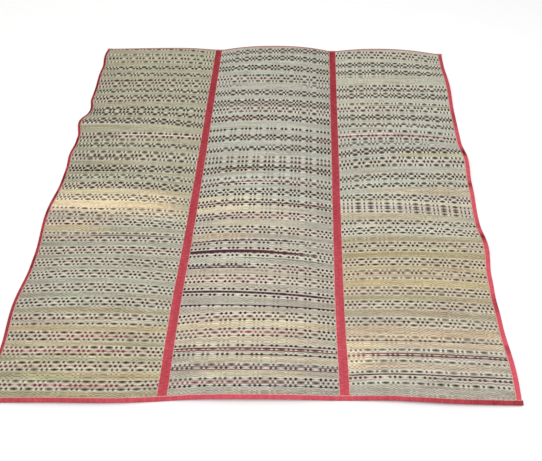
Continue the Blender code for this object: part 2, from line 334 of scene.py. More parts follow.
# Single reeds that show as an unbroken line: where they lie, their dye, how far along the row they
# start and stop, how deep they look, and how wide: a thin line is 0 and a whole reed is 1
Line = namedtuple("Line", "pick dye start stop depth width", defaults=(0.0,))
LINES = {
    "left": (
        Line(63, "ink", 0.0, 0.5, 0.9),
        Line(139, "pale", 0.0, 0.5, 0.4),
        Line(155, "pale", 0.32, 0.92, 0.9),
        Line(156, "brown>maroon", 0.0, 0.9, 0.6),
        Line(188, "purple", 0.12, 0.5, 0.9),
        Line(207, "ink", 0.03, 0.40, 0.9),
        Line(289, "maroon", 0.35, 0.93, 0.9),
        Line(305, "maroon", 0.55, 0.95, 0.6),
        Line(376, "pale", 0.2, 0.9, 0.5),
        Line(404, "crimson", 0.1, 0.8, 0.5),
        Line(426, "ink", 0.2, 1.0, 0.6),
        Line(432, "maroon", 0.4, 1.0, 0.5),
    ),
    "middle": (
        Line(52, "teal", 0.2, 0.5, 0.8),
        Line(58, "maroon", 0.3, 0.7, 0.5),
        Line(145, "ink", 0.0, 0.3, 0.6),
        Line(195, "maroon", 0.4, 1.0, 0.7),
        Line(204, "ink>purple", 0.15, 0.95, 0.8),
        Line(224, "pale", 0.3, 0.55, 0.9),
        Line(223, "maroon", 0.05, 0.6, 0.7),
        Line(249, "maroon>purple>maroon", 0.0, 0.95, 0.95, 0.3),
        Line(265, "purple>maroon", 0.0, 0.3, 0.7),
        Line(295, "purple>ink", 0.0, 0.7, 0.9, 0.3),
        Line(306, "purple>maroon", 0.0, 0.55, 0.9, 1.0),
        Line(307, "purple>maroon", 0.0, 0.75, 0.9, 1.0),
        Line(308, "purple>maroon", 0.0, 0.70, 0.9, 0.4),
        Line(314, "teal", 0.35, 0.9, 0.7),
        Line(321, "purple>maroon", 0.0, 0.4, 0.9, 0.3),
        Line(323, "purple>maroon", 0.0, 0.45, 0.95, 0.3),
        Line(348, "purple", 0.0, 0.97, 0.95, 1.0),
        Line(349, "purple", 0.0, 0.9, 0.9, 0.4),
        Line(361, "purple>ink", 0.0, 1.0, 0.85, 0.4),
        Line(398, "ink", 0.5, 1.0, 0.7),
        Line(400, "maroon", 0.0, 0.9, 0.9, 0.3),
        Line(402, "maroon", 0.0, 1.0, 0.9, 0.3),
        Line(406, "ink", 0.4, 1.0, 0.7, 0.2),
        Line(416, "purple", 0.0, 1.0, 0.85, 0.2),
        Line(419, "purple", 0.0, 1.0, 0.8, 0.2),
        Line(429, "purple", 0.0, 0.9, 0.6),
        Line(432, "purple", 0.0, 0.9, 0.6),
        Line(434, "navy", 0.5, 1.0, 0.7),
    ),
    "right": (
        Line(104, "maroon>brown>maroon", 0.3, 1.0, 0.7),
        Line(151, "pale", 0.06, 0.45, 0.7),
        Line(153, "crimson", 0.0, 0.9, 0.9),
        Line(192, "brown", 0.75, 1.0, 0.7),
        Line(326, "brown", 0.15, 0.6, 0.8),
        Line(346, "brown>ink", 0.4, 0.95, 0.6),
        Line(392, "brown>ink>brown", 0.0, 1.0, 0.7),
        Line(404, "maroon", 0.1, 1.0, 0.9, 0.4),
        Line(406, "maroon", 0.2, 1.0, 0.85, 0.3),
        Line(421, "ink>brown>ink", 0.02, 1.0, 1.0, 0.3),
        Line(424, "brown", 0.5, 1.0, 0.6),
        Line(426, "brown", 0.5, 1.0, 0.5),
    ),
}

# How softly an unbroken reed and a stretch of another tone start and stop along the row
LINE_SOFT = 0.04
STRETCH_SOFT = 0.18

# The undyed reeds: their tones from the far end to the near end, the painted shade of each
# panel's bow from its left edge to its right edge, darker where it slopes away from the light, and the
# stretches that lie apart in tone, with the picks that each covers, how far along the row, and how
# strong it is
TONES = {
    "moss": (0.462, 0.436, 0.318),
    "ash": (0.510, 0.498, 0.436),
    "bleached": (0.550, 0.534, 0.446),
    "dun": (0.458, 0.412, 0.350),
    "dusk": (0.425, 0.400, 0.325),
    "khaki": (0.432, 0.378, 0.243),
    "straw": (0.442, 0.364, 0.222),
    "cream": (0.880, 0.710, 0.460),
    "gold": (0.660, 0.510, 0.300),
    "peach": (0.660, 0.510, 0.350),
    "olive_gold": (0.520, 0.450, 0.220),
    "whitened": (0.815, 0.748, 0.655),
    "pink": (0.820, 0.500, 0.470),
}
GROUNDS = {
    "left": "moss moss moss moss moss moss dusk dusk khaki khaki",
    "middle": "ash ash ash ash ash ash dun dun dun dun",
    "right": "bleached bleached bleached ash ash ash straw straw dun dun",
}
PAINTED_SHADE_ACROSS = {
    "left": (0.84, 0.95, 1.00, 1.00, 0.97),
    "middle": (0.98, 1.02, 1.01, 0.96, 0.86),
    "right": (1.00, 1.01, 1.00, 0.99, 0.97),
}
Stretch = namedtuple("Stretch", "first last start stop tone depth")
STRETCHES = {
    "left": (
        Stretch(90, 100, 0.3, 1.0, "khaki", 0.4),
        Stretch(231, 262, 0.0, 0.9, "cream", 0.60),
        Stretch(241, 260, 0.0, 0.8, "cream", 0.80),
        Stretch(258, 268, 0.3, 1.0, "cream", 0.35),
        Stretch(272, 287, 0.0, 0.4, "gold", 0.55),
        Stretch(366, 371, 0.0, 1.0, "khaki", 0.5),
        Stretch(380, 387, 0.0, 1.0, "gold", 0.55),
        Stretch(393, 400, 0.0, 0.6, "peach", 0.6),
        Stretch(420, 426, 0.3, 1.0, "gold", 0.4),
    ),
    "middle": (
        Stretch(118, 123, 0.0, 1.0, "bleached", 0.7),
        Stretch(240, 262, 0.0, 0.4, "cream", 0.55),
        Stretch(252, 262, 0.3, 0.8, "cream", 0.25),
        Stretch(270, 279, 0.1, 0.7, "cream", 0.25),
        Stretch(284, 293, 0.0, 0.4, "peach", 0.6),
        Stretch(310, 320, 0.0, 0.8, "bleached", 0.7),
        Stretch(326, 333, 0.0, 0.7, "peach", 0.4),
        Stretch(338, 344, 0.0, 0.4, "peach", 0.5),
        Stretch(366, 372, 0.0, 0.8, "cream", 0.2),
        Stretch(374, 384, 0.0, 0.9, "cream", 0.55),
        Stretch(388, 397, 0.0, 0.9, "cream", 0.40),
        Stretch(407, 413, 0.2, 1.0, "cream", 0.35),
        Stretch(420, 427, 0.2, 0.8, "cream", 0.40),
    ),
    "right": (
        Stretch(181, 186, 0.5, 1.0, "olive_gold", 0.6),
        Stretch(206, 222, 0.6, 1.0, "gold", 0.2),
        Stretch(228, 236, 0.3, 1.0, "gold", 0.5),
        Stretch(242, 249, 0.0, 1.0, "cream", 0.35),
        Stretch(257, 266, 0.0, 0.9, "gold", 0.35),
        Stretch(274, 288, 0.0, 0.9, "bleached", 0.8),
        Stretch(318, 327, 0.0, 1.0, "gold", 0.30),
        Stretch(333, 344, 0.0, 1.0, "gold", 0.45),
        Stretch(380, 400, 0.0, 1.0, "peach", 0.75),
        Stretch(392, 418, 0.0, 0.15, "cream", 0.85),
        Stretch(410, 418, 0.1, 0.9, "peach", 0.45),
    ),
}

# What greens some undyed reeds and yellows others
GREENER = (0.91, 1.01, 0.90)
YELLOWER = (1.06, 0.98, 0.84)

# How much each tape fades, together with painted light and shade along it, at even steps from the
# near end to the far end, or from left to right. Painted shade where the folds turn away from the
# light: where, how far along, and how deep.
Shadow = namedtuple("Shadow", "place reach depth")
FADE_AND_LIGHT = {
    "seam_left": (0.62, 0.54, 0.40, 0.30, 0.22),
    "seam_right": (0.72, 0.59, 0.42, 0.30, 0.22),
    "edge_left": (0.38, 0.35, 0.33, 0.20, 0.02),
    "edge_right": (1.00, 0.88, 0.82, 0.70, 0.42),
    "edge_near": (0.62, 0.72, 0.86, 0.66, 0.25),
    "edge_far": (0.16, 0.18, 0.16),
}
SHADOWS = {
    "edge_left": (
        Shadow(0.62, 0.06, 0.30),
        Shadow(0.46, 0.05, 0.40),
        Shadow(0.23, 0.05, 0.45),
        Shadow(0.02, 0.05, 0.45),
        Shadow(-0.08, 0.04, 0.35),
        Shadow(-0.17, 0.03, 0.30),
        Shadow(-0.40, 0.06, 0.30),
    ),
    "edge_right": (
        Shadow(0.43, 0.09, 0.30),
        Shadow(0.19, 0.05, 0.80),
        Shadow(0.00, 0.03, 0.55),
        Shadow(-0.21, 0.02, 0.30),
        Shadow(-0.27, 0.04, 0.75),
        Shadow(-0.57, 0.06, 0.40),
        Shadow(-0.745, 0.03, 0.50),
    ),
}
# The tape's shaded colour and its lit and faded one: real fading and painted light and shade mix
# between them
SHADED = (0.190, 0.006, 0.010)
FADED_AND_LIT = (0.640, 0.098, 0.130)
FRAYED_THREAD = (0.88, 0.66, 0.56)

# The tape's threads turn this fast over and under each other, in radians to the metre
THREADS = 5200.0

# Faces that meet at more than this stay sharp
SHARP_FOLD = math.radians(60)

# The floor is pale paper, far wider than the mat
FLOOR_HALF = 12.0
PAPER = (0.92, 0.92, 0.92)
PAPER_FLECK = (0.86, 0.86, 0.86)

# The light: where each lamp stands, how wide it is, its power and its tint, and the room's own light
Lamp = namedtuple("Lamp", "name place size power tint")
LAMPS = (
    Lamp("window", (-2.6, 1.0, 3.0), 2.5, 30.0, (1.0, 0.99, 0.97)),
    Lamp("lamp", (1.3, -0.9, 5.0), 3.0, 175.0, (1.0, 1.0, 1.0)),
)
ROOM_LIGHT = 0.52

# The camera. The photo's principal point lies right of its middle and a little below it.
FRAME_SIZE = (542, 461)
FOCAL_PX = 470.0
PRINCIPAL = (311.75, 231.0)
CAMERA_PLACE = Vector((0.1735, -1.2936, 1.6535))
CAMERA_PITCH = math.radians(57.480)
CAMERA_YAW = math.radians(1.333)
CAMERA_ROLL = math.radians(1.678)
SENSOR = 36.0


def smoothstep(low, high, value):
    """0 below low, 1 above high, and a smooth step between."""
    t = min(max((value - low) / (high - low), 0.0), 1.0)
    return t * t * (3 - 2 * t)


def window(start, stop, soft, value):
    """1 between start and stop and 0 outside, with a soft step at each."""
    inside = smoothstep(start - soft, start + soft, value)
    return inside * (1 - smoothstep(stop - soft, stop + soft, value))


def hump(distance, reach):
    """1 at no distance, falling smoothly to 0 at reach."""
    if abs(distance) >= reach:
        return 0.0
    return math.cos(math.pi / 2 * distance / reach) ** 2


def curve_through(values, share):
    """The height at a share of the way along evenly spaced values, on a smooth curve."""
    last = len(values) - 1
    place = min(max(share, 0.0), 1.0) * last
    i = min(int(place), last - 1)
    t = place - i
    a, b = values[i], values[i + 1]
    slope_a = (b - values[max(i - 1, 0)]) / 2
    slope_b = (values[min(i + 2, last)] - a) / 2
    rise = t * t * (3 - 2 * t)
    return a + (b - a) * rise + slope_a * t * (1 - t) ** 2 - slope_b * t * t * (1 - t)


def share_along(y):
    """The share of the mat's length from its near end to y."""
    return (y + HALF_LENGTH) / (2 * HALF_LENGTH)


def panel_at(s):
    """The panel that holds the place s across the mat, with its two edges."""
    if s < -SEAM_X:
        return "left", -SIDE_EDGE, -SEAM_X
    if s > SEAM_X:
        return "right", SEAM_X, SIDE_EDGE
    return "middle", -SEAM_X, SEAM_X


def soft_distance(distance, flat):
    """The distance from an edge, held at 0 over the flat beside it and rising softly after."""
    past = max(distance - flat, 0.0)
    return math.hypot(past, SOFT_RISE) - SOFT_RISE


def side_of(s):
    """The side of the mat that the place s is on."""
    return "left" if s < 0 else "right"


def crown(s, y):
    """How far the panel bows up off the floor."""
    name, low, high = panel_at(s)
    half = (high - low) / 2
    flat_low = SIDE_FLAT if name == "left" else SEAM_FLAT
    flat_high = SIDE_FLAT if name == "right" else SEAM_FLAT
    inside = min(soft_distance(s - low, flat_low), soft_distance(high - s, flat_high))
    longest = soft_distance(half, SEAM_FLAT)
    t = 1 - min(inside / longest, 1.0)
    return curve_through(CROWNS[name], share_along(y)) * (1 - t**CROWN_POWER)


def side_waves(s, y):
    """How far the waves in the nearer side edge lift the mat here, and how far they push it out."""
    waves = WAVES[side_of(s)]
    inside = max(SIDE_EDGE - abs(s), 0.0)
    lift = sum(w.lift * hump(y - w.y, w.reach) for w in waves)
    bulge = sum(w.bulge * hump(y - w.y, w.reach) for w in waves)
    return lift * hump(inside, LIFT_FADE), bulge * hump(inside, BULGE_FADE)


def layer_lift(s, y):
    """The layers of folded tape under the edges raise the reeds by their own thickness."""
    by_side = 1 - smoothstep(SIDE_LEAVES[side_of(s)], LAYER_FADE, SIDE_EDGE - abs(s))
    by_end = 1 - smoothstep(NEAR_LEAF, LAYER_FADE, END_EDGE - abs(y))
    return LAYER * (by_side + by_end)


def underside(s, y):
    """The height of the reeds' underside over the floor."""
    return crown(s, y) + side_waves(s, y)[0] + layer_lift(s, y)


def end_shift(s, y):
    """How far the nearer end's line pulls the mat along here."""
    shifts = END_SHIFTS["near" if y < 0 else "far"]
    share = (s + SIDE_EDGE) / (2 * SIDE_EDGE)
    return curve_through(shifts, share) * hump(END_EDGE - abs(y), END_FADE)


def seam_shift(s, y):
    """How far the nearer seam pulls the mat sideways here."""
    shift = curve_through(SEAM_SHIFTS[side_of(s)], share_along(y))
    return shift * hump(abs(s) - SEAM_X, SEAM_FADE)


def plan(s, y):
    """Where the place s across and y along the mat lies on the floor, seen from above."""
    outwards = -1 if s < 0 else 1
    bulge = side_waves(s, y)[1]
    return s + outwards * bulge + seam_shift(s, y), y + end_shift(s, y)


def operator(operation, swapped=False):
    """A method of a signal that works on it and another term with one Math node."""

    def method(self, other):
        terms = (other, self) if swapped else (self, other)
        return self.maths(operation, *terms)

    return method


class Signal:
    """One output of a material's nodes. Arithmetic on it adds Math nodes."""

    def __init__(self, finish, socket):
        self.finish = finish
        self.socket = socket

    def out(self, name):
        """Another output of the same node."""
        return Signal(self.finish, self.socket.node.outputs[name])

    def maths(self, operation, *terms):
        return self.finish.node("ShaderNodeMath", {"operation": operation}, dict(enumerate(terms)))

    __add__ = __radd__ = operator("ADD")
    __sub__ = operator("SUBTRACT")
    __rsub__ = operator("SUBTRACT", swapped=True)
    __mul__ = __rmul__ = operator("MULTIPLY")
    __truediv__ = operator("DIVIDE")
    __pow__ = operator("POWER")
    __mod__ = operator("FLOORED_MODULO")
    larger = operator("MAXIMUM")

    def __abs__(self):
        return self.maths("ABSOLUTE", self)

    def rounded(self):
        return self.maths("ROUND", self)

    def sine(self):
        return self.maths("SINE", self)

    def towards(self, other, share):
        """This where share is 0, the other where it is 1, and a blend between, for plain numbers."""
        return self + (other - self) * share

    def step(self, low, high):
        """0 where this is below low, 1 above high, and a smooth step between."""
        return self.finish.node(
            "ShaderNodeMapRange",
            {"interpolation_type": "SMOOTHSTEP"},
            {"Value": self, "From Min": low, "From Max": high},
        )


class Finish:
    """A material under construction."""

    def __init__(self, name):
        self.material = bpy.data.materials.new(name)
        self.material.use_nodes = True
        self.tree = self.material.node_tree
        self.shader = self.tree.nodes["Principled BSDF"]

    def set(self, sockets, values):
        for key, value in values.items():
            socket = sockets[key]
            if isinstance(value, Signal):
                self.tree.links.new(value.socket, socket)
            else:
                socket.default_value = value

    def node(self, kind, settings=None, values=None):
        """A node's first visible output, as a signal."""
        made = self.tree.nodes.new(kind)
        for key, value in (settings or {}).items():
            setattr(made, key, value)
        self.set(made.inputs, values or {})
        first = next(output for output in made.outputs if output.enabled)
        return Signal(self, first)

    def mix(self, factor, a, b, blend="MIX"):
        """Two colours mixed by a factor."""
        settings = {"data_type": "RGBA", "blend_type": blend, "clamp_factor": True}
        return self.node("ShaderNodeMix", settings, {0: factor, 6: colour(a), 7: colour(b)})

    def shade(self, tint, light):
        """A colour made lighter or darker."""
        return self.mix(1.0, tint, self.vector(light, light, light), "MULTIPLY")

    def vector(self, x, y, z):
        return self.node("ShaderNodeCombineXYZ", values={0: x, 1: y, 2: z})

    def across_and_along(self, uv_map):
        """Where a point lies on a piece, from the piece's own map."""
        place = self.node("ShaderNodeUVMap", {"uv_map": uv_map})
        across = self.node("ShaderNodeSeparateXYZ", values={0: place})
        return across, across.out("Y")

    def mark(self, name):
        """What a piece's own attribute holds: a colour with its Alpha, or a number, as Fac."""
        return self.node("ShaderNodeAttribute", {"attribute_name": name})

    def noise(self, place, detail, roughness=0.5):
        """Noise of about one patch to the unit, at a place given as three numbers."""
        values = {"Vector": self.vector(*place), "Scale": 1.0, "Detail": detail}
        values["Roughness"] = roughness
        return self.node("ShaderNodeTexNoise", values=values)

    def bump(self, height, distance, strength):
        values = {"Height": height, "Distance": distance, "Strength": strength}
        return self.node("ShaderNodeBump", values=values)


def colour(value):
    """A colour as a socket takes it."""
    if isinstance(value, Signal) or len(value) == 4:
        return value
    return (*value, 1.0)


# Where a point lies in the weave: across the columns and along the picks, in which column and on
# which pick's float, 1 where that pick is odd, and how far it is from the float's middle each way,
# with its edge at 1
Spot = namedtuple("Spot", "across along column pick odd float_x float_y")


def weave_spot(finish):
    """Finds a point in the weave, where a float is as wide as its column and two picks tall."""
    across, along = finish.across_and_along("weave")
    column = across.rounded()
    odd = column % 2.0
    pair = (along + odd) / 2.0
    row = pair.rounded()
    float_x = abs(across - column) * 2.0
    float_y = abs(pair - row) * 2.0
    return Spot(across, along, column, row * 2.0 - odd, odd, float_x, float_y)


def undyed_reed(finish, spot):
    """The colour of undyed reeds, and their grain. They differ from pick to pick and change slowly
    along their length."""
    across, along = spot.across, spot.along
    tone = finish.noise((across * 0.045, spot.pick * 3.7, 0.0), 1.0)
    drift = finish.noise((across * 0.03, along * 0.45, 6.0), 2.0)
    streak = finish.noise((across * 0.14, along * 0.38, 2.0), 4.0, 0.75)
    grain = finish.noise((across * 1.1, along * 0.6, 4.0), 3.0, 0.6)
    fibre = finish.noise((across * 0.9, along * 17.0, 9.0), 1.0)
    hue = tone * 0.35 + drift * 0.65
    green = finish.mix(hue.step(0.50, 0.64), finish.mark("ground"), GREENER, "MULTIPLY")
    straw = finish.mix(hue.step(0.50, 0.36), green, YELLOWER, "MULTIPLY")
    light = tone * 0.85 + drift * 0.16 + streak * 0.90 + grain + fibre * 0.16 - 0.63
    return finish.shade(straw, light), grain


def dyed_weave(finish, spot, reed, grain):
    """The colour of the weave with its dyed reeds, and how dyed it is."""
    odd = spot.odd
    dye_even, dye_odd = finish.mark("dye_even"), finish.mark("dye_odd")
    soak_even, soak_odd = finish.mark("soak_even"), finish.mark("soak_odd")
    worn = grain * 0.4 + 0.75
    own = finish.shade(finish.mix(odd, dye_even, dye_odd), worn)
    hidden = finish.shade(finish.mix(odd, dye_odd, dye_even), worn)
    beside = finish.shade(finish.mix(odd, soak_even, soak_odd), worn)

    # Some dyed floats are a little bare, and near the viewer the ends of the wide odd ones too
    near_end = spot.along.step(*FAR_TO_NEAR)
    patch = finish.noise((spot.column * 0.7, spot.pick * 1.3, 20.0), 1.0).step(0.30, 0.55)
    full = (patch * 0.14 + 0.86) * (1.0 - near_end * odd * spot.float_x * 0.15)
    own_depth = dye_even.out("Alpha").towards(dye_odd.out("Alpha"), odd) * full
    hidden_depth = dye_odd.out("Alpha").towards(dye_even.out("Alpha"), odd)
    dyed = own_depth.larger(hidden_depth)

    # A strong dye soaks past its own float, most of all in the middle of the float
    soak = soak_even.out("Alpha").towards(soak_odd.out("Alpha"), odd)
    narrow = spot.float_x ** (3.4 - odd * 1.8)
    reach = soak * 0.95 - narrow * (odd * 0.50 + 0.12)
    soaked = (spot.float_y + reach - 1.0).step(-FLOAT_SOFT, FLOAT_SOFT) * soak.step(0.0, 0.25)
    floating = finish.mix(soaked, finish.mix(own_depth, reed, own), beside)

    # Between the floats shows the reed that dives under, darkened with painted shade in the furrow.
    # A float narrows to its two ends, where the warp ties it down, and far from the viewer a wide odd
    # one ends in the dyed reed under it.
    tail = (1.0 - near_end) * odd * spot.float_x.step(0.42, 0.80)
    furrow_shaded_reed = finish.shade(reed, own_depth * 0.60 + 0.28)
    diving = finish.mix(hidden_depth * (tail * 0.55 + 0.4), furrow_shaded_reed, hidden)
    furrow = 0.17 - hidden_depth * 0.07 + own_depth * (near_end * 0.06 + odd * 0.12 - 0.23)
    ends = 0.12 + dyed * (near_end * 0.28 + odd * 0.30 + 0.12) - hidden_depth * 0.25
    opened = furrow + (ends - furrow) * narrow + hidden_depth * tail * 0.60
    gap = (spot.float_y - 1.0 + opened).step(-FLOAT_SOFT, FLOAT_SOFT)
    return finish.mix(gap, floating, diving), dyed


def unbroken_reeds(finish, spot, woven):
    """Lays the single reeds that show as an unbroken line over the weave."""
    line = finish.mark("line")
    half_width = finish.mark("line_width").out("Fac") * 0.6 + 0.18
    from_middle = abs(abs(spot.along - spot.along.rounded()) - 0.5)
    shown = 1.0 - from_middle.step(half_width, half_width + 0.18)
    return finish.mix(shown * line.out("Alpha"), woven, line)


def reed_finish():
    """Split reeds over cotton warp: each pick shows as a row of short floats, with dyed reeds in it."""
    finish = Finish("woven_reed")
    spot = weave_spot(finish)
    reed, grain = undyed_reed(finish, spot)
    woven, dyed = dyed_weave(finish, spot, reed, grain)
    rounding = (1.0 - spot.float_y**2.0) * 0.6 + dyed * (1.0 - spot.float_x**4.0) * 0.2
    finish.set(
        finish.shader.inputs,
        {
            "Base Color": unbroken_reeds(finish, spot, woven),
            "Roughness": grain * 0.16 + 0.56,
            "Normal": finish.bump(rounding + grain * 0.5, distance=WEAVE_DEPTH, strength=0.6),
            "Specular IOR Level": 0.06,
        },
    )
    return finish.material


def tape_finish():
    """Red cotton tape: fine plain weave, fading unevenly, with painted light and shade along it and
    on its creases, a line of stitches by each edge and pale threads where the edge is frayed."""
    finish = Finish("red_cotton")
    across, along = finish.across_and_along("tape")
    weave = (across * THREADS).sine() * (along * THREADS).sine()
    fade = finish.noise((across * 30.0, along * 9.0, 0.0), 3.0)
    slub = finish.noise((across * 900.0, along * 90.0, 2.0), 2.0)
    crease = finish.noise((across * 40.0, along * 210.0, 7.0), 2.0)
    # Real fading, painted light and shade along the tape, and painted light and shade on its creases
    faded_and_lit = finish.mark("faded_and_lit").out("Fac") + (fade - 0.5) * 0.45 + (crease - 0.5) * 0.95
    cloth = finish.shade(finish.mix(faded_and_lit, SHADED, FADED_AND_LIT), slub * 0.26 + weave * 0.05 + 0.84)

    # The stitches sink a little into the tape, and painted shade darkens them there
    row = finish.mark("seam").out("Fac")
    beat = abs(along / STITCH % 1.0 - 0.5) * 2.0
    stitch = row.step(0.55, 0.9) * (1.0 - beat.step(0.62, 0.80))
    sewn = finish.mix(stitch * 0.5, cloth, SHADED)
    thread = finish.noise((across * 90.0, along * 420.0, 5.0), 1.0).step(0.38, 0.60)
    frayed = finish.mark("hem").out("Fac") * (thread * 0.75 + 0.20)
    height = weave * 0.12 + slub * 0.3 - row * 0.9 + stitch * 0.7 + crease * 0.5
    finish.set(
        finish.shader.inputs,
        {
            "Base Color": finish.mix(frayed, sewn, FRAYED_THREAD),
            "Roughness": slub * 0.14 + 0.78,
            "Normal": finish.bump(height, distance=0.0005, strength=0.7),
            "Sheen Weight": 0.05,
            "Sheen Roughness": 0.5,
            "Specular IOR Level": 0.15,
        },
    )
    return finish.material


def floor_finish():
    """Plain pale paper."""
    finish = Finish("pale_floor")
    place = finish.node("ShaderNodeTexCoord").out("Object")
    fleck = finish.node("ShaderNodeTexNoise", values={"Vector": place, "Scale": 60.0})
    tint = finish.mix(fleck * 0.02, PAPER, PAPER_FLECK)
    finish.set(finish.shader.inputs, {"Base Color": tint, "Roughness": 0.9, "Specular IOR Level": 0.1})
    return finish.material


def closed_sheet(name, steps, lines, place):
    """A closed sheet as a mesh. place(i, j, outer) puts line i of step j on its inner or outer face.
    Its points keep their line, their step and their face as attributes."""
    bm = bmesh.new()
    keys = [bm.verts.layers.int.new(key) for key in ("line", "step", "outer")]
    bmesh.ops.create_grid(bm, x_segments=lines, y_segments=steps, size=1.0)
    extruded = bmesh.ops.extrude_face_region(bm, geom=bm.faces[:])
    outer = {v for v in extruded["geom"] if isinstance(v, bmesh.types.BMVert)}
    for v in bm.verts:
        i = round((v.co.x + 1) / 2 * lines)
        j = round((v.co.y + 1) / 2 * steps)
        v[keys[0]], v[keys[1]], v[keys[2]] = i, j, v in outer
        v.co = place(i, j, v in outer)
    bmesh.ops.recalc_face_normals(bm, faces=bm.faces[:])
    if bm.calc_volume(signed=True) < 0:
        bmesh.ops.reverse_faces(bm, faces=bm.faces[:])
    mesh = bpy.data.meshes.new(name)
    bm.to_mesh(mesh)
    bm.free()
    mesh.shade_smooth()
    mesh.set_sharp_from_angle(angle=SHARP_FOLD)
    return mesh


def corner_keys(mesh):
    """The line, step and face of each face corner's point."""
    corners = np.empty(len(mesh.loops), np.int32)
    mesh.loops.foreach_get("vertex_index", corners)
    found = []
    for key in ("line", "step", "outer"):
        values = np.empty(len(mesh.vertices), np.int32)
        mesh.attributes[key].data.foreach_get("value", values)
        mesh.attributes.remove(mesh.attributes[key])
        found.append(values[corners])
    return found


def face_steps(mesh, step):
    """The lower step of each corner's face, given the step of each corner."""
    counts = np.empty(len(mesh.polygons), np.int32)
    mesh.polygons.foreach_get("loop_total", counts)
    starts = np.concatenate([[0], np.cumsum(counts)[:-1]])
    return np.repeat(np.minimum.reduceat(step, starts), counts)


def add_uv(mesh, name, u, v):
    """A map of the mesh for its finish, with two numbers for each face corner."""
    layer = mesh.uv_layers.new(name=name)
    layer.uv.foreach_set("vector", np.stack([u, v], 1).astype(np.float32).ravel())


def add_colour(mesh, name, values):
    """A colour for each face corner, for the finish to read."""
    layer = mesh.color_attributes.new(name, "FLOAT_COLOR", "CORNER")
    layer.data.foreach_set("color", values.astype(np.float32).ravel())


def add_mark(mesh, name, values):
    """A number for each face corner, for the finish to read."""
    layer = mesh.attributes.new(name, "FLOAT", "CORNER")
    layer.data.foreach_set("value", np.array(values, np.float32))


def add_piece(mesh, material, node, flat):
    """Puts a finished sheet in the scene in place of its solid."""
    mesh.materials.append(material)
    piece = bpy.data.objects.new(mesh.name, mesh)
    bpy.context.scene.collection.objects.link(piece)
    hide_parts(node)
    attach(piece, "root")


def panel_edges(name):
    """The two long edges of a panel's reeds."""
    inner = SEAM_X + HINGE_GAP / 2
    if name == "middle":
        inner = SEAM_X - HINGE_GAP / 2
        return -inner, inner
    return (-SIDE_EDGE, -inner) if name == "left" else (inner, SIDE_EDGE)


def weave_lines(name):
    """A panel's grid lines, left to right, each with its place across the mat and its column number.
    Even columns are A columns and odd ones B columns."""
    low, high = panel_edges(name)
    start = LAYOUT_CENTRES[name] - PITCH * (sum(GROUPS) + len(GROUPS) - 2) / 2
    s, column = start, 0
    lines = []
    for number, group in enumerate(GROUPS):
        if number:
            lines += [(s + PITCH + WIDE_COLUMN * w, column + 1 + w) for w in WIDE_LINES]
            s += 2 * PITCH
            column += 2
        lines.append((s, column))
        for _ in range(group - 1):
            lines += [(s + HALF_PITCH, column + 1), (s + PITCH, column + 2)]
            s += PITCH
            column += 2
    before = (start - low) / HALF_PITCH
    after = (high - s) / HALF_PITCH
    lines = [(start - HALF_PITCH * k, -k) for k in range(int(before), 0, -1)] + lines
    lines += [(s + HALF_PITCH * k, column + k) for k in range(1, int(after) + 1)]
    return [(low, -before), *lines, (high, column + after)]


@lru_cache(maxsize=None)
def row_lean(name, number):
    """How many picks a row leans towards the near end at the left end of a panel, its middle and its
    right end. It changes between the bands, and the panel's near end is straight."""
    leans = []
    for band in BANDS[name]:
        pick = band.picks[len(band.picks) // 2]
        places = [place - pick for place in band.places]
        leans += [(band.picks[0] - 1, places), (band.picks[-1] + 1, places)]
    leans.insert(0, (-SPARE_PICKS, leans[0][1]))
    leans += [(PICKS, [0, 0, 0]), (PICKS + SPARE_PICKS, [0, 0, 0])]
    k = next(k for k in range(len(leans) - 1) if number <= leans[k + 1][0])
    t = smoothstep(leans[k][0], leans[k + 1][0], number)
    return [a + (b - a) * t for a, b in zip(leans[k][1], leans[k + 1][1])]


def lean(name, s, number):
    """How many picks a row leans towards the near end at the place s."""
    low, high = panel_edges(name)
    t = (2 * s - low - high) / (high - low)
    left, middle, right = row_lean(name, number)
    return middle + (right - left) / 2 * t + ((right + left) / 2 - middle) * t * t


def squeeze(pick):
    """Rows that lean out past an end are packed together under its binding."""
    if pick < SQUEEZE:
        return SQUEEZE**2 / (2 * SQUEEZE - pick)
    if pick > PICKS - SQUEEZE:
        return PICKS - squeeze(PICKS - pick)
    return pick


def row_place(name, s, number):
    """The place of a row's line, in picks from the far end."""
    if number == -SPARE_PICKS:
        return 0.0
    if number == PICKS + SPARE_PICKS:
        return float(PICKS)
    return squeeze(number + lean(name, s, number))


def weave_height(column, number, place):
    """1 where the pick floats over the warp, -1 where it dives under, and 0 between."""
    nearest = round(column)
    off = abs(column - nearest) * 2
    turn = -1 if (nearest + number) % 2 else 1
    return turn * (1 - off**3) * smoothstep(*PRESSED, min(place, PICKS - place))


def dye_along(spec, share):
    """The colour and strength of a dye at a share of the way along its row. It runs through the dyes
    that spec names, and "bare" reed has none."""
    stops = [(*DYES[dye], 1.0) if dye != "bare" else None for dye in spec.split(">")]
    solid = next(stop for stop in stops if stop)
    stops = [np.array(stop or (*solid[:3], 0.0)) for stop in stops]
    at = share * (len(stops) - 1)
    k = min(int(at), max(len(stops) - 2, 0))
    t = smoothstep(*BLEND, at - k)
    return stops[k] * (1 - t) + stops[min(k + 1, len(stops) - 1)] * t


def dyed_picks(name, places, shares):
    """The dye of each pick at each line of a panel, as red, green, blue and strength."""
    dyes = np.zeros((ROWS, len(places), 4))
    for number, band in enumerate(BANDS[name]):
        for pick, spec in zip(band.picks, band.dyes.split()):
            if spec == "bare":
                continue
            for i, share in enumerate(shares):
                stain = dye_along(spec, share)
                patch = noise.noise(Vector((places[i] * 9.0, pick * 1.7, number * 3.1)))
                bare = 1 - min(band.depth * (1 + UNEVEN_DYE * patch), 1)
                stain[3] *= 1 - bare**UPTAKE
                dyes[pick + SPARE_PICKS, i] = stain
    return dyes


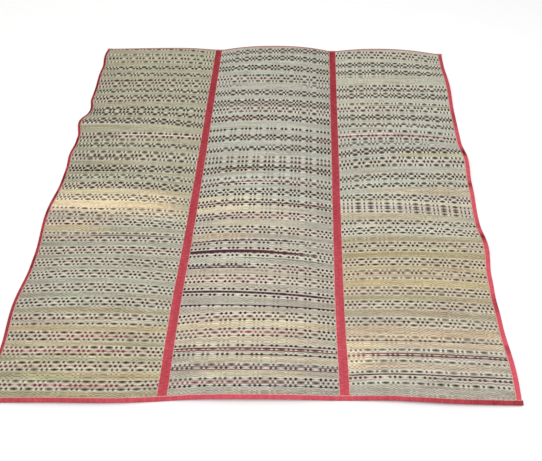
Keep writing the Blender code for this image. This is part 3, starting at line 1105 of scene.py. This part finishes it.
def unbroken_lines(name, shares):
    """The dyes of the reeds that show as an unbroken line, and how wide each looks."""
    dyes = np.zeros((ROWS, len(shares), 4))
    widths = np.zeros((ROWS, len(shares)))
    for line in LINES[name]:
        row = line.pick + SPARE_PICKS
        far = 1 - smoothstep(*FAR_TO_NEAR, line.pick)
        widths[row] = line.width + (1 - line.width) * FAR_WIDENING * far
        for i, share in enumerate(shares):
            shown = window(line.start, line.stop, LINE_SOFT, share)
            dyes[row, i] = [*dye_along(line.dye, share)[:3], shown * line.depth]
    return dyes, widths


def stretches_at(name, number):
    """The stretches of another tone that a row lies in, each with how strong it is there."""
    found = []
    for stretch in STRETCHES[name]:
        soft = 2 + (stretch.last - stretch.first) / 5
        strength = stretch.depth * window(stretch.first, stretch.last, soft, number)
        if strength > 0:
            found.append((stretch, strength))
    return found


def stretch_along(stretch, share):
    """1 in a stretch and 0 outside it, along the row. It fades only where it ends in the panel."""
    start = stretch.start if stretch.start > 0 else -1
    stop = stretch.stop if stretch.stop < 1 else 2
    return window(start, stop, STRETCH_SOFT, share)


def ground_tones(name, shares):
    """The tone of the undyed reeds at each row and line of a panel, with painted shade across its bow.
    """
    tones = np.ones((ROWS, len(shares), 4))
    grounds = [Vector(TONES[tone]) for tone in GROUNDS[name].split()]
    # Painted shade across the panel, darker where its bow slopes away from the light
    shade_across = [curve_through(PAINTED_SHADE_ACROSS[name], share) for share in shares]
    for number in range(-SPARE_PICKS, PICKS + SPARE_PICKS + 1):
        at = min(max(number / PICKS, 0.0), 1.0) * (len(grounds) - 1)
        k = min(int(at), len(grounds) - 2)
        ground = grounds[k].lerp(grounds[k + 1], at - k)
        stretches = stretches_at(name, number)
        for i, share in enumerate(shares):
            tone = ground * shade_across[i]
            for stretch, strength in stretches:
                tone = tone.lerp(Vector(TONES[stretch.tone]), strength * stretch_along(stretch, share))
            tones[number + SPARE_PICKS, i, :3] = tone
    return tones


def bleed(tones, dyes):
    """Pales the undyed reeds beside dyed ones, and reddens them beside red ones."""
    depth, red, green = dyes[..., 3], dyes[..., 0], dyes[..., 1]
    redness = (red - green) / (red + green + 0.001) * np.minimum(red * RED_GAIN, 1.0)
    for tone, strength in (("whitened", depth), ("pink", depth * redness)):
        bled = np.zeros(depth.shape)
        for shift in range(-BLEED_PICKS, BLEED_PICKS + 1):
            reach = 1 - abs(shift) / (BLEED_PICKS + 1)
            bled = np.maximum(bled, np.roll(strength, shift, axis=0) * reach)
        share = (BLEED * bled)[..., None]
        tones[..., :3] = tones[..., :3] * (1 - share) + np.array(TONES[tone]) * share


def soaked_dyes(dyes):
    """The dyes that soak past their own floats: all at the far end, and hardly at the near end."""
    kept = [1 - SOAK_LOSS * smoothstep(*FAR_TO_NEAR, row - SPARE_PICKS) for row in range(ROWS)]
    soaked = dyes.copy()
    soaked[..., 3] *= np.array(kept)[:, None]
    return soaked


def dye_panel(mesh, name, places, line, step):
    """Gives a panel's mesh its dyes and tones. Each face holds the dyes of the even and the odd pick
    beside it, and of the next even and odd ones, which soak into it."""
    low, high = panel_edges(name)
    shares = [(s - low) / (high - low) for s in places]
    dyes = dyed_picks(name, places, shares)
    thin, widths = unbroken_lines(name, shares)
    tones = ground_tones(name, shares)
    bleed(tones, dyes)
    soaked = soaked_dyes(dyes)

    row = face_steps(mesh, step)
    odd = (row - SPARE_PICKS) % 2
    before, after = row - 1, np.minimum(row + 2, ROWS - 1)
    add_colour(mesh, "dye_even", dyes[row + odd, line])
    add_colour(mesh, "dye_odd", dyes[row + 1 - odd, line])
    add_colour(mesh, "soak_even", soaked[np.where(odd, before, after), line])
    add_colour(mesh, "soak_odd", soaked[np.where(odd, after, before), line])
    add_colour(mesh, "line", thin[row, line])
    add_mark(mesh, "line_width", widths[row, line])
    add_colour(mesh, "ground", tones[step, line])


def add_panel(name, material):
    """One woven panel: every pick and every warp column is in its relief."""
    lines = weave_lines(name)
    places = [s for s, _ in lines]
    columns = np.array([column for _, column in lines])

    def place(i, j, top):
        s, column = lines[i]
        number = j - SPARE_PICKS
        row = row_place(name, s, number)
        y = END_EDGE - row * PICK
        level = (weave_height(column, number, row) + 1) * WEAVE_DEPTH / 2
        if top:
            level += PANEL_THICK - WEAVE_DEPTH
        return (*plan(s, y), underside(s, y) + level)

    mesh = closed_sheet(f"reeds_{name}", PICKS + 2 * SPARE_PICKS, len(lines) - 1, place)
    line, step, top = corner_keys(mesh)
    add_uv(mesh, "weave", columns[line] + (1 - top), step - SPARE_PICKS)
    dye_panel(mesh, name, places, line, step)
    low, high = panel_edges(name)
    add_piece(mesh, material, f"panel_{name}", (high - low, 2 * END_EDGE))


def rows_between(low, high, pitch):
    """Evenly spaced places from low to high, about a pitch apart."""
    count = round((high - low) / pitch)
    return [low + (high - low) * k / count for k in range(count + 1)]


def pucker(*at):
    """The small unevenness of sewn cloth, from -1 to 1."""
    return noise.noise(Vector(at))


def add_tape_marks(mesh, line, step, rows, stitches, hems):
    """Marks the lines of a tape that its stitches run along and its frayed edges, and how much it
    fades along its length, together with painted light and painted shade under its folds."""
    add_mark(mesh, "seam", np.array(stitches)[line])
    add_mark(mesh, "hem", np.array(hems)[line])
    shadows = SHADOWS.get(mesh.name, ())
    faded_and_lit = []
    for place in rows:
        shade = sum(shadow.depth * hump(place - shadow.place, shadow.reach) for shadow in shadows)
        share = (place - rows[0]) / (rows[-1] - rows[0])
        faded_and_lit.append(curve_through(FADE_AND_LIGHT[mesh.name], share) - shade)
    add_mark(mesh, "faded_and_lit", np.array(faded_and_lit)[step])


def sewn_relief(place, edge, bead_reach, stitch_reach):
    """How much the bead, the stitches and the rounded edge of a tape raise it at a place."""
    bead = hump(place - (edge - bead_reach), bead_reach)
    stitches = hump(place - (edge - STITCH_INSET), stitch_reach)
    return BEAD_RISE * (bead - stitches) - (ROUND_OVER if place == edge else 0.0)


def seam_offsets():
    """A seam tape's grid lines, as distances from its seam: closest at the crease, the stitches and
    the edges."""
    half = TAPE_WIDTH / 2
    stitch = half - STITCH_INSET
    right = [0.0, STITCH_LINES, HINGE_GAP / 2, *SEAM_LINES, stitch - STITCH_INSET + STITCH_LINES]
    right += [stitch - STITCH_LINES, stitch, stitch + STITCH_LINES]
    right += [half - SEAM_REACHES[0], half - ROUND_OVER, half]
    return [-d for d in right[:0:-1]] + right


def add_seam_tape(name, side, material):
    """A tape over two panels, creased where it bridges their seam, with a bead along its edges."""
    rows = rows_between(-END_EDGE, END_EDGE, TAPE_ROW)
    offsets = seam_offsets()
    half = TAPE_WIDTH / 2

    def place(i, j, outer):
        offset, y = offsets[i], rows[j]
        d = abs(offset)
        wander = SEAM_WANDER * pucker(y * 7, side * 5.0, 0.0)
        s = side * SEAM_X + offset + wander * (d / half)
        z = underside(s, y) + PANEL_THICK + CLEAR
        z -= CREASE_DEPTH * (1 - smoothstep(0.0, HINGE_GAP / 2, d))
        if outer:
            uneven = pucker(y * 40, offset * 60, side * 3.0) * smoothstep(0.0, SEAM_LINES[0], d)
            z += TAPE_THICK + sewn_relief(d, half, *SEAM_REACHES) + SEAM_PUCKER * uneven
        return (*plan(s, y), z)

    mesh = closed_sheet(f"seam_{name}", len(rows) - 1, len(offsets) - 1, place)
    line, step, _ = corner_keys(mesh)
    add_uv(mesh, "tape", np.array(offsets)[line], np.array(rows)[step])
    stitches = [hump(abs(d) - (half - STITCH_INSET), SEAM_REACHES[1]) for d in offsets]
    hems = [1 - smoothstep(*FRAYED, half - abs(d)) for d in offsets]
    add_tape_marks(mesh, line, step, rows, stitches, hems)
    add_piece(mesh, material, f"seam_tape_{name}", (TAPE_WIDTH, 2 * END_EDGE))


def fold_section(leaf):
    """The path of a folded tape's section, from the edge of its upper leaf round to the edge of its
    lower one: how far inside the mat's edge, the way round the fold as an angle, and the face, which
    is 1 above, -1 below and 0 on the fold."""
    inside = [leaf - d for d in FOLD_LINES]
    inside += [leaf * share for share in INNER_LINES if leaf * (1 - share) > FOLD_LINES[-1]]
    turns = [math.pi / 2 - math.pi * k / FOLD_STEPS for k in range(FOLD_STEPS + 1)]
    upper = [(d, math.pi / 2, 1) for d in inside]
    lower = [(d, -math.pi / 2, -1) for d in reversed(inside)]
    return upper + [(0.0, turn, 0) for turn in turns] + lower


def fold_point(spot, outer, over, under, leaf, uneven):
    """How far out past the edge and how high over the reeds' underside one point of a folded tape
    lies. over and under are the other tapes that it wraps."""
    inside, turn, face = spot
    wall = TAPE_THICK * outer
    above = PANEL_THICK + over + CLEAR + wall
    below = -under - CLEAR - wall
    out = (CLEAR + WEB_BULGE + wall) * math.cos(turn) if face == 0 else 0.0
    z = (above + below) / 2 + math.sin(turn) * (above - below) / 2
    if face == 1 and outer:
        z += sewn_relief(inside, leaf, *FOLD_REACHES) + FOLD_PUCKER * uneven
    return out, z


def finish_binding(mesh, section, rows, leaf, material, node):
    """The map, the marks and the place of a folded tape."""
    line, step, _ = corner_keys(mesh)
    across, stitches, hems = [], [], []
    for inside, turn, face in section:
        path = leaf - inside if face >= 0 else leaf + inside
        across.append(path + FOLD_LENGTH * (math.pi / 2 - turn) / math.pi)
        stitches.append(hump(inside - (leaf - STITCH_INSET), FOLD_REACHES[1]) if face == 1 else 0.0)
        hems.append(1 - smoothstep(*FRAYED, leaf - inside) if face else 0.0)
    add_uv(mesh, "tape", np.array(across)[line], np.array(rows)[step])
    add_tape_marks(mesh, line, step, rows, stitches, hems)
    flat = (2 * leaf + PANEL_THICK + 2 * LAYER, rows[-1] - rows[0])
    add_piece(mesh, material, node, flat)


def add_side_binding(name, side, material):
    """The tape folded round one long side."""
    rows = rows_between(-END_EDGE, END_EDGE, TAPE_ROW)
    leaf = SHOWN_LEAVES[name]
    section = fold_section(leaf)

    def place(i, j, outer):
        y = rows[j]
        inside = section[i][0]
        uneven = pucker(y * 45, i * 0.7, side * 2.0)
        out, z = fold_point(section[i], outer, 0.0, 0.0, leaf, uneven)
        wander = SIDE_WANDER * pucker(y * 16, side * 9.0, 1.0)
        wander += SIDE_RIPPLE * pucker(y * 60, side * 4.0, 1.0)
        x, along = plan(side * (SIDE_EDGE - inside - wander * inside / leaf), y)
        return (x + side * out, along, z + underside(side * (SIDE_EDGE - inside), y))

    mesh = closed_sheet(f"edge_{name}", len(rows) - 1, len(section) - 1, place)
    finish_binding(mesh, section, rows, leaf, material, f"binding_{name}")


def tapes_wrapped(s):
    """How much of the side binding and of a seam tape an end's tape wraps at s, from 0 to 1."""
    leaf = SIDE_LEAVES[side_of(s)]
    half = TAPE_WIDTH / 2
    at_corner = 1 - smoothstep(leaf + CLEAR, leaf + STEP_WIDTH, SIDE_EDGE - abs(s))
    at_seam = 1 - smoothstep(half + CLEAR, half + STEP_WIDTH, abs(abs(s) - SEAM_X))
    return at_corner, at_seam


def add_end_binding(name, end, material):
    """The tape folded round one end, over the seam tapes and round the side bindings."""
    corner = SIDE_EDGE + LAYER + 2 * WEB_BULGE
    rows = [-HALF_WIDTH - DOG_EAR, *rows_between(-corner, corner, TAPE_ROW), HALF_WIDTH + DOG_EAR]
    leaf = SHOWN_LEAVES[name]
    section = fold_section(leaf)

    def place(i, j, outer):
        s = rows[j]
        inside = section[i][0]
        on_mat = min(max(s, -SIDE_EDGE), SIDE_EDGE)
        at_corner, at_seam = tapes_wrapped(s)
        over, under = LAYER * max(at_corner, at_seam), LAYER * at_corner
        uneven = pucker(s * 45, i * 0.7, end * 2.0)
        out, z = fold_point(section[i], outer, over, under, leaf, uneven)
        wander = END_WANDER * pucker(s * 16, end * 9.0, 1.0)
        x, along = plan(on_mat, end * (END_EDGE - inside - wander * inside / leaf))
        z += underside(on_mat, end * (END_EDGE - inside))
        return (x + s - on_mat, along + end * out, z)

    mesh = closed_sheet(f"edge_{name}", len(rows) - 1, len(section) - 1, place)
    finish_binding(mesh, section, rows, leaf, material, f"binding_{name}")


def add_floor():
    """The floor that the mat lies on."""
    bm = bmesh.new()
    bmesh.ops.create_grid(bm, x_segments=4, y_segments=4, size=FLOOR_HALF)
    mesh = bpy.data.meshes.new("floor")
    bm.to_mesh(mesh)
    bm.free()
    mesh.materials.append(floor_finish())
    floor = bpy.data.objects.new("floor", mesh)
    bpy.context.scene.collection.objects.link(floor)


def add_lamp(lamp):
    """A soft square light that faces the middle of the mat."""
    data = bpy.data.lights.new(lamp.name, "AREA")
    data.shape = "SQUARE"
    data.size = lamp.size
    data.energy = lamp.power
    data.color = lamp.tint
    light = bpy.data.objects.new(lamp.name, data)
    light.location = lamp.place
    light.rotation_euler = (-Vector(lamp.place)).to_track_quat("-Z", "Y").to_euler()
    bpy.context.scene.collection.objects.link(light)


def light_room():
    """The room's even light round the lamps."""
    world = bpy.data.worlds.new("room")
    world.use_nodes = True
    background = world.node_tree.nodes["Background"]
    background.inputs["Color"].default_value = (1.0, 1.0, 1.0, 1.0)
    background.inputs["Strength"].default_value = ROOM_LIGHT
    bpy.context.scene.world = world


def add_camera():
    """The photo's view: low pitch over the near end, turned and rolled a little."""
    data = bpy.data.cameras.new("camera")
    data.sensor_fit = "HORIZONTAL"
    data.sensor_width = SENSOR
    data.lens = FOCAL_PX / FRAME_SIZE[0] * SENSOR
    data.shift_x = (FRAME_SIZE[0] / 2 - PRINCIPAL[0]) / FRAME_SIZE[0]
    data.shift_y = (PRINCIPAL[1] - FRAME_SIZE[1] / 2) / FRAME_SIZE[0]
    camera = bpy.data.objects.new("camera", data)
    turn = Matrix.Rotation(-CAMERA_YAW, 4, "Z") @ Matrix.Rotation(math.pi / 2 - CAMERA_PITCH, 4, "X")
    turn = turn @ Matrix.Rotation(CAMERA_ROLL, 4, "Z")
    camera.matrix_world = Matrix.Translation(CAMERA_PLACE) @ turn
    bpy.context.scene.collection.objects.link(camera)
    bpy.context.scene.camera = camera


def main():
    add_camera()
    reed = reed_finish()
    for name in ("left", "middle", "right"):
        add_panel(name, reed)
    tape = tape_finish()
    for name, side in (("left", -1), ("right", 1)):
        add_seam_tape(name, side, tape)
        add_side_binding(name, side, tape)
    for name, end in (("near", -1), ("far", 1)):
        add_end_binding(name, end, tape)
    add_floor()
    for lamp in LAMPS:
        add_lamp(lamp)
    light_room()
    bpy.context.scene.view_settings.view_transform = "Standard"


main()
